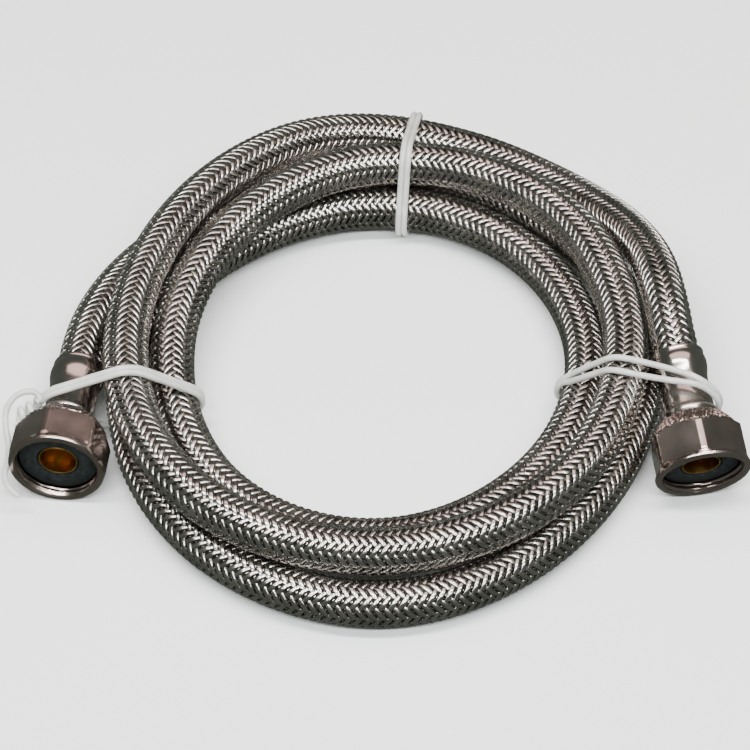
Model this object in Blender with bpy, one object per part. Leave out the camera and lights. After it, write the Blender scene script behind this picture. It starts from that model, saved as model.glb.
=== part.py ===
"""Braided supply line, coiled in a hank of a little over three turns and held by three wire ties.

The hose is one flexible line seen end to end: a rubber liner inside a braided sleeve.  Each end
has a brass nipple, a crimped ferrule, a loose swivel nut and a sealing washer kept in the nut.
Frame: metres, +Z up, floor at z = 0, origin under the middle of the bounding box.
"""
import math

import bmesh
import bpy
import numpy as np
from mathutils import Matrix, Vector

MM = 0.001
CLEAR = 0.3 * MM            # air left between two pieces that would touch

# ---- hose -------------------------------------------------------------------------------------
HOSE_D = 15.0 * MM          # over the braided sleeve
SLEEVE_IN_R = 6.6 * MM
LINER_OUT_R = 5.9 * MM
LINER_IN_R = 4.6 * MM
CRIMP_SLEEVE_R = (6.9 * MM, 6.05 * MM)
CRIMP_LINER_R = (5.4 * MM, 4.4 * MM)
SLEEVE_SIDES = 12
LINER_SIDES = 6

# ---- the hank: one line of stations, an eighth of a turn apart, clockwise from the left ----------
RING_R = 70.7 * MM          # inner strand's centre line
OVAL = 3.7 * MM             # the ring is a little oval
OVAL_AT = 108.0             # direction of the long axis, degrees
RING_AT = (2.94 * MM, -4.72 * MM)
LANE = HOSE_D + CLEAR       # one strand beside the next
FIRST_STATION = 45.0
STATION_STEP = 45.0
STATIONS = [                # (lanes outside the inner strand, layers above the floor)
    (1.4, 0.15), (1.0, 0.0), (0.85, 0.0), (1.45, 0.0), (1.5, 0.0), (1.6, 0.0), (1.35, 0.0),
    (1.15, 0.0), (0.45, 0.0), (0.0, 0.0), (-0.15, 0.0), (0.0, 0.0), (0.0, 0.0), (0.0, 0.0), (0.0, 0.0),
    (0.15, 0.5), (0.1, 1.0), (0.4, 0.9), (0.68, 0.98), (0.95, 0.85), (1.1, 0.85), (0.85, 0.7),
    (1.05, 1.0), (1.0, 1.05), (1.15, 1.1), (1.93, 0.15), (1.8, 0.1),
]
SPAN_SAMPLES = 9            # samples settled between two stations
END_SAMPLES = 3             # and on the short straight spans at the ferrules
SECTION_EVERY = 3           # every third sample carries a section
SETTLE_ROUNDS = 300
SETTLE_SPARE = 0.15 * MM    # extra spacing asked for, as the chords cut the corners
TIE_LIFT = 2.9 * MM         # the strands stand on the tie wires where a tie passes under
TIE_LIFT_SPREAD = 26.0      # degrees
TIE_FLAT = 13.0             # degrees either side of a tie that are fully raised
LIFT_ANGLES = (-12.0, 95.0, 190.0)
SETTLE_PUSH = 0.6
SETTLE_BLUR = 0.5
SETTLE_STIFF = 2.2          # leads of hose behind a ferrule that stay where they are
SAME_STRAND = 3.0           # hose diameters along the line within which strands may be close

# ---- end fittings, distances along the axis from the mouth of the nut -----------------------------
FIT_LEN = 43.5 * MM
LEAD = 9.0 * MM             # straight hose just behind a ferrule
INSERT = 20.0 * MM          # hose inside a ferrule
SQUEEZE = 3.0 * MM          # the lip over which a ferrule squeezes the hose
LEFT_MOUTH = (-100.56 * MM, -55.42 * MM)
RIGHT_MOUTH = (104.94 * MM, -57.42 * MM)
LEFT_TURN, LEFT_DIP = 6.0, 0.0
RIGHT_TURN, RIGHT_DIP = 9.0, 15.0
RIM_R = 15.7 * MM           # height of the axis at the mouth, clear of the turning corners
FERRULE_MAX_R = 8.9 * MM
NUT_REAR = 19.8 * MM
LEFT_FLAT_AT = 90.0 - 17.0  # direction of one flat seen from the mouth, degrees
RIGHT_FLAT_AT = 90.0 - 25.0
FITTING_BALLS = [(t * 2.5 * MM, r * MM) for t, r in (
    (0, 15.4), (1, 15.6), (2, 15.6), (3, 15.6), (4, 15.6), (5, 15.6), (6, 15.0), (7, 12.5),
    (8, 9.0), (9, 9.0), (10, 9.0))]

# profiles: (depth from the mouth, radius) in millimetres
NUT_OUTSIDE = ((0.0, 14.3), (0.5, 15.0), (1.5, 15.4), (2.6, 15.3), (3.8, 15.6), (14.2, 15.6),
               (15.2, 13.9), (19.4, 10.2), (19.8, 9.8))
NUT_INSIDE = ((0.0, 13.2), (0.5, 12.75), (3.2, 12.75), (3.3, 13.3), (9.7, 13.3), (9.7, 9.1),
              (19.8, 9.1))
HEX_FLAT_R = 14.0           # centre to flat
HEX_DEPTHS = (3.5, 14.5)    # where the hexagon starts and ends
WASHER_FACES = (3.6, 6.2)
WASHER_R = (6.7, 12.5)
FLANGE_FRONT = 6.5
COLLAR_FRONT = 3.8          # the nipple's collar stands in the hole of the washer
COLLAR_R = (5.9, 6.3)
NIPPLE_OUTSIDE = ((COLLAR_FRONT, COLLAR_R[1]), (FLANGE_FRONT, COLLAR_R[1]), (FLANGE_FRONT, 12.0),
                  (6.7, 12.2), (7.7, 12.2), (7.9, 12.0), (7.9, 7.0), (15.4, 6.4), (22.9, 4.2),
                  (23.0, 3.3), (27.0, 3.7), (27.2, 3.3), (31.0, 3.7), (31.2, 3.3), (35.0, 3.7),
                  (39.5, 3.2))
NIPPLE_INSIDE = ((COLLAR_FRONT, COLLAR_R[0]), (13.0, 5.7), (16.0, 3.6), (17.0, 2.5), (39.5, 2.5))
FERRULE_OUTSIDE = ((15.8, 8.2), (16.2, 8.5), (24.0, 8.5), (25.5, 8.1), (38.5, 8.0), (40.0, 8.6),
                   (41.5, 8.9), (42.8, 8.9), (43.5, 8.5))
FERRULE_INSIDE = ((15.8, 6.9), (22.6, 6.9), (23.0, 7.25), (40.0, 7.25), (43.5, 7.9))

# ---- wire ties -----------------------------------------------------------------------------------
TIE_R = 1.15 * MM
TIE_BORE_R = 0.75 * MM
TIE_WIRE_R = 0.42 * MM
TIE_SIDES = 6
TIE_SLACK = 0.2 * MM       # the band stands this little off the faceted hose
TIE_STEP = 15.0             # degrees between points of the band
TIE_SIDE = 1.4 * MM         # half the distance between the two ends where they meet
UP = np.array([0.0, 0.0, 1.0])
TIES = {                    # plane: angle round the ring, shift along the hose, lean per height;
    "top_tie": {            # knot: direction of the corner where the two ends meet;
        "angle": 97.0, "shift": -1.2 * MM, "lean": 0.0, "knot": -20.0,
        "tails": (((0.3, -2.0, 0.0), (0.5, -6.0, 0.0)), ((0.3, 1.0, 0.0),)),
    },                      # tails: steps (out, along, up) of the two free ends, in millimetres
    "right_tie": {
        "angle": 197.0, "shift": -7.7 * MM, "lean": 0.17, "knot": -65.0,
        "tails": (((0.0, -2.0, 0.0), (0.2, -6.0, 0.0)), ((0.2, 1.0, 0.0),)),
    },
    "left_tie": {
        "angle": -5.3, "shift": -10.6 * MM, "lean": -0.2, "knot": 35.0,
        "tails": (
            ((2.5, 0.0, 0.0), (7.0, -0.5, -2.0), (10.2, -3.8, -4.5), (11.2, -11.8, -5.5),
             (12.3, -19.8, -5.9), (12.6, -25.8, -6.3), (10.3, -29.3, -7.1), (6.3, -30.3, -8.2)),
            ((2.5, 0.0, 0.0), (7.0, 1.0, 0.6), (12.0, 0.5, 0.8)),
        ),
    },
}


def wipe_scene():
    """Start from an empty scene."""
    for item in list(bpy.data.objects):
        bpy.data.objects.remove(item)


# ---- route -------------------------------------------------------------------------------------
def ring_point(angle, lanes, layers):
    """A point of the hank: angle in degrees clockwise from the left, seen from above."""
    a = math.radians(angle)
    swell = OVAL * math.cos(2.0 * math.radians(angle - OVAL_AT))
    reach = RING_R + swell + LANE * lanes
    height = HOSE_D / 2 + HOSE_D * layers
    return [RING_AT[0] - reach * math.cos(a), RING_AT[1] + reach * math.sin(a), height]


def fitting_axis(mouth, turn, dip, side):
    """Mouth centre and the unit axis that points out of the mouth."""
    t = math.radians(turn)
    d = math.radians(dip)
    axis = np.array([side * math.sin(t) * math.cos(d), -math.cos(t) * math.cos(d), -math.sin(d)])
    centre = np.array([mouth[0], mouth[1], RIM_R * math.cos(d)])
    return centre, axis


LEFT_END = fitting_axis(LEFT_MOUTH, LEFT_TURN, LEFT_DIP, -1)
RIGHT_END = fitting_axis(RIGHT_MOUTH, RIGHT_TURN, RIGHT_DIP, 1)


def control_points():
    """Hose end, the stations of the hank, and the other hose end."""
    left_c, left_u = LEFT_END
    right_c, right_u = RIGHT_END
    left = left_c - left_u * FIT_LEN
    right = right_c - right_u * FIT_LEN
    points = [left + left_u * INSERT, left, left - left_u * LEAD]
    for i, (lanes, layers) in enumerate(STATIONS):
        points.append(np.array(ring_point(FIRST_STATION + STATION_STEP * i, lanes, layers)))
    points += [right - right_u * LEAD, right, right + right_u * INSERT]
    return np.array(points)


def spline(points):
    """Natural cubic spline by chord length through the control points."""
    chord = np.linalg.norm(np.diff(points, axis=0), axis=1)
    n = len(points)
    matrix = np.eye(n)
    right = np.zeros((n, 3))
    for i in range(1, n - 1):
        matrix[i, i - 1] = chord[i - 1]
        matrix[i, i] = 2.0 * (chord[i - 1] + chord[i])
        matrix[i, i + 1] = chord[i]
        rise = (points[i + 1] - points[i]) / chord[i] - (points[i] - points[i - 1]) / chord[i - 1]
        right[i] = 6.0 * rise
    bend = np.linalg.solve(matrix, right)
    out = []
    for i in range(n - 1):
        count = END_SAMPLES if i < 2 or i > n - 4 else SPAN_SAMPLES
        for k in range(count):
            b = k / count
            a = 1.0 - b
            curve = ((a ** 3 - a) * bend[i] + (b ** 3 - b) * bend[i + 1]) * chord[i] ** 2 / 6.0
            out.append(a * points[i] + b * points[i + 1] + curve)
    out.append(points[-1])
    return np.array(out)


def tie_lift(points):
    """How much the strands are raised by the tie wires passing under them."""
    lift = np.zeros(len(points))
    angle = np.degrees(np.arctan2(points[:, 1] - RING_AT[1], RING_AT[0] - points[:, 0]))
    for tie_angle in LIFT_ANGLES:
        off = np.abs((angle - tie_angle + 180.0) % 360.0 - 180.0)
        near = np.clip(1.0 - (off - TIE_FLAT) / TIE_LIFT_SPREAD, 0.0, 1.0)
        lift = np.maximum(lift, TIE_LIFT * near * near * (3.0 - 2.0 * near))
    return lift


def fitting_balls():
    """Balls that stand for the end fittings while the strands settle beside them."""
    centres = []
    sizes = []
    for centre, axis in (LEFT_END, RIGHT_END):
        for depth, radius in FITTING_BALLS:
            centres.append(centre - axis * depth)
            sizes.append(radius)
    return np.array(centres), np.array(sizes)


def settle(start):
    """Push strands of different turns apart until none touch; the ends stay where they are."""
    n = len(start)
    along = np.concatenate([[0.0], np.cumsum(np.linalg.norm(np.diff(start, axis=0), axis=1))])
    at_end = np.minimum(along, along[-1] - along)
    radius = np.where(at_end < INSERT + CLEAR, FERRULE_MAX_R, HOSE_D / 2)
    free = np.clip((at_end - INSERT - LEAD) / LANE, 0.0, 1.0)[:, None]
    other = np.abs(along[:, None] - along[None, :]) > SAME_STRAND * HOSE_D
    need = radius[:, None] + radius[None, :] + CLEAR + SETTLE_SPARE
    balls, ball_r = fitting_balls()
    ball_need = ball_r[None, :] + radius[:, None] + CLEAR + SETTLE_SPARE
    ball_on = at_end[:, None] > INSERT + SETTLE_STIFF * LEAD
    floor = HOSE_D / 2 + tie_lift(start)
    shift = np.zeros((n, 3))
    shift[:, 2] = tie_lift(start) * free[:, 0]
    for _ in range(SETTLE_ROUNDS):
        now = start + shift
        gap = now[:, None, :] - now[None, :, :]
        dist = np.linalg.norm(gap, axis=2) + 1e-9
        press = np.where(other, np.clip(need - dist, 0.0, None), 0.0)
        push = (gap * (press / dist)[:, :, None]).sum(axis=1)
        push /= np.maximum((press > 0.0).sum(axis=1), 1)[:, None]
        gap = now[:, None, :] - balls[None, :, :]
        dist = np.linalg.norm(gap, axis=2) + 1e-9
        press = np.where(ball_on, np.clip(ball_need - dist, 0.0, None), 0.0)
        push += (gap * (press / dist)[:, :, None]).max(axis=1)
        push += (gap * (press / dist)[:, :, None]).min(axis=1)
        shift += SETTLE_PUSH * push * free
        blur = shift.copy()
        blur[1:-1] = (2.0 * shift[1:-1] + shift[:-2] + shift[2:]) / 4.0
        shift = shift + SETTLE_BLUR * (blur - shift) * free
        low = floor - (start + shift)[:, 2]
        shift[:, 2] += np.clip(low, 0.0, None) * free[:, 0]
    return start + shift


def hose_route():
    """Centre line of the whole hose as settled samples."""
    return settle(spline(control_points()))


# ---- meshes ------------------------------------------------------------------------------------
def make_object(name, verts, faces, material, smooth_angle=40.0):
    """A mesh object with outward normals and its own material."""
    mesh = bpy.data.meshes.new(name)
    mesh.from_pydata([tuple(v) for v in verts], [], faces)
    shell = bmesh.new()
    shell.from_mesh(mesh)
    bmesh.ops.recalc_face_normals(shell, faces=shell.faces)
    shell.to_mesh(mesh)
    shell.free()
    mesh.shade_smooth()
    mesh.set_sharp_from_angle(angle=math.radians(smooth_angle))
    mesh.materials.append(material)
    item = bpy.data.objects.new(name, mesh)
    bpy.context.scene.collection.objects.link(item)
    return item


def make_material(name, colour, roughness, metallic):
    """A Principled material."""
    material = bpy.data.materials.new(name)
    material.use_nodes = True
    shader = material.node_tree.nodes["Principled BSDF"]
    shader.inputs["Base Color"].default_value = (*colour, 1.0)
    shader.inputs["Roughness"].default_value = roughness
    shader.inputs["Metallic"].default_value = metallic
    return material


def turned(name, profile, sides, end, material, radius_at=None):
    """A ring of revolution about a fitting's axis.

    The profile is a closed loop of (depth from the mouth, radius) in millimetres.  radius_at can
    change a radius by the angle, which cuts the flats of the hexagon.
    """
    centre, axis = end
    verts = []
    for depth, radius in profile:
        for k in range(sides):
            a = 2.0 * math.pi * k / sides
            r = radius_at(depth, radius, a) if radius_at else radius
            verts.append((r * MM * math.cos(a), r * MM * math.sin(a), -depth * MM))
    faces = []
    rows = len(profile)
    for i in range(rows):
        j = (i + 1) % rows
        for k in range(sides):
            m = (k + 1) % sides
            faces.append((i * sides + k, i * sides + m, j * sides + m, j * sides + k))
    item = make_object(name, verts, faces, material)
    place_on_axis(item, centre, axis)
    return item


def place_on_axis(item, centre, axis):
    """Local +Z out of the mouth, local +Y as near to up as it can be."""
    out = Vector(axis)
    side = Vector((0.0, 0.0, 1.0)).cross(out).normalized()
    up = out.cross(side)
    turn = Matrix((side, up, out)).transposed()
    item.matrix_world = Matrix.Translation(Vector(centre)) @ turn.to_4x4()


def section_frames(points):
    """Side and up directions across a path, kept level and never twisted."""
    tangent = np.gradient(points, axis=0)
    tangent /= np.linalg.norm(tangent, axis=1)[:, None]
    side = np.cross(tangent, (0.0, 0.0, 1.0))
    side /= np.linalg.norm(side, axis=1)[:, None]
    return side, np.cross(side, tangent)


def swept_tube(name, points, frames, outer, inner, sides, material):
    """An open-ended tube (or a solid rod when inner is None) along a path."""
    side, up = frames
    n = len(points)
    verts = []
    skins = [outer] if inner is None else [outer, inner]
    for radii in skins:
        for i in range(n):
            for k in range(sides):
                a = 2.0 * math.pi * k / sides
                ray = side[i] * math.cos(a) + up[i] * math.sin(a)
                verts.append(tuple(points[i] + ray * radii[i]))
    faces = []
    for skin in range(len(skins)):
        base = skin * n * sides
        for i in range(n - 1):
            for k in range(sides):
                m = (k + 1) % sides
                low = base + i * sides
                faces.append((low + k, low + m, low + sides + m, low + sides + k))
    for i in (0, n - 1):
        row = i * sides
        if inner is None:
            faces.append(tuple(row + k for k in range(sides)))
            continue
        other = n * sides + row
        for k in range(sides):
            m = (k + 1) % sides
            faces.append((row + k, row + m, other + m, other + k))
    return make_object(name, verts, faces, material)


# ---- hose --------------------------------------------------------------------------------------
def hose_sections():
    """Every third settled sample, with extra sections where the ferrules squeeze the hose."""
    samples = hose_route()
    picked = list(samples[::SECTION_EVERY])
    left_c, left_u = LEFT_END
    right_c, right_u = RIGHT_END
    left = left_c - left_u * FIT_LEN
    right = right_c - right_u * FIT_LEN
    points = [left + left_u * INSERT, left + left_u * SQUEEZE, left]
    points += picked[2:-2]
    points += [right, right + right_u * SQUEEZE, right + right_u * INSERT]
    return np.array(points)


def hose_radii(count, full, squeezed):
    """Radius at each section: squeezed inside the ferrules."""
    radii = np.full(count, full)
    radii[:2] = squeezed
    radii[-2:] = squeezed
    return radii


def build_hose(points, steel, rubber):
    """The braided sleeve and the rubber liner inside it."""
    frames = section_frames(points)
    n = len(points)
    outer = hose_radii(n, HOSE_D / 2, CRIMP_SLEEVE_R[0])
    inner = hose_radii(n, SLEEVE_IN_R, CRIMP_SLEEVE_R[1])
    swept_tube("hose_braid", points, frames, outer, inner, SLEEVE_SIDES, steel)
    outer = hose_radii(n, LINER_OUT_R, CRIMP_LINER_R[0])
    inner = hose_radii(n, LINER_IN_R, CRIMP_LINER_R[1])
    swept_tube("hose_liner", points, frames, outer, inner, LINER_SIDES, rubber)


# ---- end fittings --------------------------------------------------------------------------------
def ring_profile(outside, inside):
    """A closed profile from an outer line and an inner line, both read from the mouth inwards."""
    return list(outside) + list(reversed(inside))


def left_flats(depth, radius, angle):
    """Nut outline of the left nut: a flat every sixth of a turn."""
    return hexagon(depth, radius, angle, LEFT_FLAT_AT)


def right_flats(depth, radius, angle):
    """Nut outline of the right nut."""
    return hexagon(depth, radius, angle, RIGHT_FLAT_AT)


def hexagon(depth, radius, angle, flat_at):
    """Cut a radius back to the flat of the hexagon."""
    if not (HEX_DEPTHS[0] < depth < HEX_DEPTHS[1]) or radius < HEX_FLAT_R:
        return radius
    sixth = math.pi / 3.0
    off = (angle - math.radians(flat_at) + sixth / 2.0) % sixth - sixth / 2.0
    return min(radius, HEX_FLAT_R / math.cos(off))


def build_end(side, end, flats, looks):
    """Nipple, ferrule, washer and swivel nut of one end."""
    turned(side + "_nipple", ring_profile(NIPPLE_OUTSIDE, NIPPLE_INSIDE), 24, end, looks["brass"])
    turned(side + "_ferrule", ring_profile(FERRULE_OUTSIDE, FERRULE_INSIDE), 24, end, looks["crimp"])
    front, back = WASHER_FACES
    hole, rim = WASHER_R
    washer = ((front, rim), (back, rim), (back, hole), (front, hole))
    turned(side + "_washer", washer, 24, end, looks["washer"])
    turned(side + "_nut", ring_profile(NUT_OUTSIDE, NUT_INSIDE), 36, end, looks["nut"], flats)


# ---- ties --------------------------------------------------------------------------------------
def tie_plane(tie):
    """Origin of a tie's plane and its directions: outwards, along the hose and up the lean."""
    a = math.radians(tie["angle"])
    out = np.array([-math.cos(a), math.sin(a), 0.0])
    along = np.array([math.sin(a), math.cos(a), 0.0])
    origin = np.array([RING_AT[0], RING_AT[1], 0.0]) + along * tie["shift"]
    return origin, out, along, UP + along * tie["lean"]


def crossings(points, tie):
    """Where the hose and the ferrules pass through the plane of a tie."""
    origin, out, along, _ = tie_plane(tie)
    square_to = along - UP * tie["lean"]
    square_to /= np.linalg.norm(square_to)
    last = len(points) - 1
    found = []
    chain = [np.array(p) for p in points]
    chain[0] = LEFT_END[0] - LEFT_END[1] * NUT_REAR
    chain[last] = RIGHT_END[0] - RIGHT_END[1] * NUT_REAR
    for i in range(last):
        here = np.dot(chain[i] - origin, square_to)
        there = np.dot(chain[i + 1] - origin, square_to)
        if here * there > 0.0:
            continue
        where = chain[i] + (chain[i + 1] - chain[i]) * here / (here - there)
        reach = np.dot(where - origin, out)
        in_ferrule = i < 2 or i > last - 3
        radius = FERRULE_MAX_R if in_ferrule else HOSE_D / 2
        run = (chain[i + 1] - chain[i]) / np.linalg.norm(chain[i + 1] - chain[i])
        square = abs(np.dot(run, square_to))
        slant = math.sqrt(1.0 - square * square) / square
        if reach > 0.0:
            found.append((reach, where[2], radius / square + slant * (TIE_SIDE + TIE_R)))
    return found


def hull(points):
    """Convex outline of points in a plane, anticlockwise."""
    ordered = sorted(points)
    halves = []
    for run in (ordered, ordered[::-1]):
        half = []
        for p in run:
            while len(half) > 1:
                ax, ay = half[-1][0] - half[-2][0], half[-1][1] - half[-2][1]
                bx, by = p[0] - half[-1][0], p[1] - half[-1][1]
                if ax * by - ay * bx > 1e-12:
                    break
                half.pop()
            half.append(p)
        halves += half[:-1]
    return halves


def tie_path(points, tie):
    """Round the bundle like a stretched band, then the two free ends."""
    origin, out, along, up = tie_plane(tie)
    pad = TIE_R + CLEAR + TIE_SLACK
    ring = []
    for reach, height, radius in crossings(points, tie):
        for k in range(int(round(360.0 / TIE_STEP))):
            a = math.radians(TIE_STEP * k)
            ring.append((reach + (radius + pad) * math.cos(a),
                         max(height + (radius + pad) * math.sin(a), TIE_R + TIE_SLACK)))
    band = hull(ring)
    way = math.radians(tie["knot"])
    start = max(range(len(band)),
                key=lambda i: band[i][0] * math.cos(way) + band[i][1] * math.sin(way))
    band = band[start:] + band[:start + 1]
    loop = []
    for k, (reach, height) in enumerate(band):
        drift = TIE_SIDE * (2.0 * k / (len(band) - 1) - 1.0)
        loop.append(origin + out * reach + along * drift + up * height)
    tails = []
    for knot, steps in zip((loop[0], loop[-1]), tie["tails"]):
        tails.append([knot + (out * reach + along * drift + UP * height) * MM
                      for reach, drift, height in steps])
    return np.array(tails[0][::-1] + loop + tails[1])


def thin_frames(points):
    """Directions across a thin wire, carried along without twisting."""
    tangent = np.gradient(points, axis=0)
    tangent /= np.linalg.norm(tangent, axis=1)[:, None]
    side = np.cross(tangent[0], (0.3, 0.2, 1.0))
    sides = []
    ups = []
    for t in tangent:
        side = side - t * np.dot(side, t)
        side = side / np.linalg.norm(side)
        sides.append(side)
        ups.append(np.cross(side, t))
    return np.array(sides), np.array(ups)


def build_tie(name, points, tie, looks):
    """One wire tie: a plastic coat with a steel wire inside."""
    path = tie_path(points, tie)
    frames = thin_frames(path)
    n = len(path)
    coat = np.full(n, TIE_R)
    bore = np.full(n, TIE_BORE_R)
    wire = np.full(n, TIE_WIRE_R)
    swept_tube(name, path, frames, coat, bore, TIE_SIDES, looks["coat"])
    swept_tube(name + "_wire", path, frames, wire, None, TIE_SIDES - 1, looks["wire"])


def main():
    """Build every piece."""
    wipe_scene()
    looks = {
        "braid": make_material("braided_steel", (0.62, 0.60, 0.58), 0.3, 1.0),
        "rubber": make_material("black_rubber", (0.02, 0.02, 0.02), 0.8, 0.0),
        "brass": make_material("brass", (0.75, 0.55, 0.25), 0.3, 1.0),
        "crimp": make_material("crimped_steel", (0.63, 0.61, 0.58), 0.25, 1.0),
        "nut": make_material("plated_nut", (0.60, 0.57, 0.54), 0.2, 1.0),
        "washer": make_material("washer_rubber", (0.03, 0.03, 0.03), 0.7, 0.0),
        "coat": make_material("tie_plastic", (0.78, 0.78, 0.76), 0.4, 0.0),
        "wire": make_material("tie_steel", (0.5, 0.5, 0.5), 0.4, 1.0),
    }
    points = hose_sections()
    build_hose(points, looks["braid"], looks["rubber"])
    build_end("left", LEFT_END, left_flats, looks)
    build_end("right", RIGHT_END, right_flats, looks)
    for name, tie in TIES.items():
        build_tie(name, points, tie, looks)


main()
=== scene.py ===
"""The looks of the braided supply line, on the frame that the CAD model gives."""
import math

import bmesh
import bpy
import numpy as np
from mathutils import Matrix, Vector


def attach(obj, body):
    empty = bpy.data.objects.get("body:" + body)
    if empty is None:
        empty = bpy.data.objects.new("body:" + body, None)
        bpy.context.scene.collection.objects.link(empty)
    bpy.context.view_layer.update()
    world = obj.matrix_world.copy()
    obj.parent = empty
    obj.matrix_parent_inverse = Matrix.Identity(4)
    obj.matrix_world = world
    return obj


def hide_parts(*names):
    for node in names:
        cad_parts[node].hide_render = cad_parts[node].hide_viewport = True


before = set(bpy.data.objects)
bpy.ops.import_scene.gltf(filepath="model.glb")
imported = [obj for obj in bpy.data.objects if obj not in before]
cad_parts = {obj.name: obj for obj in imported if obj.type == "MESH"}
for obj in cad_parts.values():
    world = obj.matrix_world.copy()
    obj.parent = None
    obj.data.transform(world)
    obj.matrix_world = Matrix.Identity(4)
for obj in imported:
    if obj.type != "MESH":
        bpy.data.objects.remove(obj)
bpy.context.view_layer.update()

MM = 0.001
CLEAR = 0.3 * MM            # gap between touching pieces
UP = np.array([0.0, 0.0, 1.0])

# ---- the hank, with the same figures as the CAD source: one line of stations, an eighth of a turn
# ---- apart, clockwise from the left ----------------------------------------------------------------
HOSE_D = 15.0 * MM          # over the braided sleeve
RING_R = 70.7 * MM          # inner strand's centre line
OVAL = 3.7 * MM             # the ring is a little oval
OVAL_AT = 108.0             # direction of the long axis, degrees
RING_AT = (2.94 * MM, -4.72 * MM)   # its centre
LANE = HOSE_D + CLEAR       # one strand beside the next
FIRST_STATION = 45.0        # degrees
STATION_STEP = 45.0
STATIONS = [                # (lanes outside the inner strand, layers above the floor)
    (1.4, 0.15), (1.0, 0.0), (0.85, 0.0), (1.45, 0.0), (1.5, 0.0), (1.6, 0.0), (1.35, 0.0),
    (1.15, 0.0), (0.45, 0.0), (0.0, 0.0), (-0.15, 0.0), (0.0, 0.0), (0.0, 0.0), (0.0, 0.0), (0.0, 0.0),
    (0.15, 0.5), (0.1, 1.0), (0.4, 0.9), (0.68, 0.98), (0.95, 0.85), (1.1, 0.85), (0.85, 0.7),
    (1.05, 1.0), (1.0, 1.05), (1.15, 1.1), (1.93, 0.15), (1.8, 0.1),
]
SPAN_SAMPLES = 9            # samples settled between two stations
END_SAMPLES = 3             # and on the short straight spans at the ferrules
SETTLE_ROUNDS = 300
SETTLE_SPARE = 0.15 * MM    # extra spacing asked for, as the chords cut the corners
TIE_LIFT = 2.9 * MM         # the strands stand on the tie wires where a tie passes under
TIE_LIFT_SPREAD = 26.0      # degrees
TIE_FLAT = 13.0             # degrees either side of a tie that are fully raised
LIFT_ANGLES = (-12.0, 95.0, 190.0)  # where the three ties pass under
SETTLE_PUSH = 0.6           # share of an overlap undone in each round
SETTLE_BLUR = 0.5           # share of the unevenness smoothed in each round
SETTLE_STIFF = 2.2          # leads of hose behind a ferrule that stay where they are
SAME_STRAND = 3.0           # hose diameters along the line within which strands may be close

# ---- the two ends of the line ----------------------------------------------------------------------
FIT_LEN = 43.5 * MM         # mouth of a nut to the hose side of its ferrule
LEAD = 9.0 * MM             # straight hose just behind a ferrule
INSERT = 20.0 * MM          # hose inside a ferrule
SQUEEZE = 3.0 * MM          # the lip over which a ferrule squeezes the hose
LEFT_MOUTH = (-100.56 * MM, -55.42 * MM)    # centres of the two mouths, from above
RIGHT_MOUTH = (104.94 * MM, -57.42 * MM)
LEFT_TURN, LEFT_DIP = 6.0, 0.0      # degrees outwards and down from straight ahead
RIGHT_TURN, RIGHT_DIP = 9.0, 15.0
RIM_R = 15.7 * MM           # height of the axis at the mouth, clear of the turning corners
FERRULE_MAX_R = 8.9 * MM
NUT_REAR = 19.8 * MM        # mouth of a nut to its back
LEFT_FLAT_AT = 90.0 - 17.0  # direction of one flat seen from the mouth, degrees
RIGHT_FLAT_AT = 90.0 - 25.0
FITTING_BALLS = [           # (distance behind the mouth, radius) of balls that fill a fitting
    (t * 2.5 * MM, r * MM) for t, r in (
        (0, 15.4), (1, 15.6), (2, 15.6), (3, 15.6), (4, 15.6), (5, 15.6), (6, 15.0), (7, 12.5),
        (8, 9.0), (9, 9.0), (10, 9.0))
]


def ring_point(angle, lanes, layers):
    """A point of the hank: angle in degrees clockwise from the left, seen from above."""
    a = math.radians(angle)
    swell = OVAL * math.cos(2.0 * math.radians(angle - OVAL_AT))
    reach = RING_R + swell + LANE * lanes
    height = HOSE_D / 2 + HOSE_D * layers
    return [RING_AT[0] - reach * math.cos(a), RING_AT[1] + reach * math.sin(a), height]


def fitting_axis(mouth, turn, dip, side):
    """Mouth centre and the unit axis that points out of the mouth."""
    t = math.radians(turn)
    d = math.radians(dip)
    axis = np.array([side * math.sin(t) * math.cos(d), -math.cos(t) * math.cos(d), -math.sin(d)])
    centre = np.array([mouth[0], mouth[1], RIM_R * math.cos(d)])
    return centre, axis


LEFT_END = fitting_axis(LEFT_MOUTH, LEFT_TURN, LEFT_DIP, -1)
RIGHT_END = fitting_axis(RIGHT_MOUTH, RIGHT_TURN, RIGHT_DIP, 1)


def control_points():
    """Hose end, the stations of the hank, and the other hose end."""
    left_c, left_u = LEFT_END
    right_c, right_u = RIGHT_END
    left = left_c - left_u * FIT_LEN
    right = right_c - right_u * FIT_LEN
    points = [left + left_u * INSERT, left, left - left_u * LEAD]
    for i, (lanes, layers) in enumerate(STATIONS):
        points.append(np.array(ring_point(FIRST_STATION + STATION_STEP * i, lanes, layers)))
    points += [right - right_u * LEAD, right, right + right_u * INSERT]
    return np.array(points)


def spline(points):
    """Natural cubic spline by chord length through the control points."""
    chord = np.linalg.norm(np.diff(points, axis=0), axis=1)
    n = len(points)
    matrix = np.eye(n)
    right = np.zeros((n, 3))
    for i in range(1, n - 1):
        matrix[i, i - 1] = chord[i - 1]
        matrix[i, i] = 2.0 * (chord[i - 1] + chord[i])
        matrix[i, i + 1] = chord[i]
        rise = (points[i + 1] - points[i]) / chord[i] - (points[i] - points[i - 1]) / chord[i - 1]
        right[i] = 6.0 * rise
    bend = np.linalg.solve(matrix, right)
    out = []
    for i in range(n - 1):
        count = END_SAMPLES if i < 2 or i > n - 4 else SPAN_SAMPLES
        for k in range(count):
            b = k / count
            a = 1.0 - b
            curve = ((a ** 3 - a) * bend[i] + (b ** 3 - b) * bend[i + 1]) * chord[i] ** 2 / 6.0
            out.append(a * points[i] + b * points[i + 1] + curve)
    out.append(points[-1])
    return np.array(out)


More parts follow.
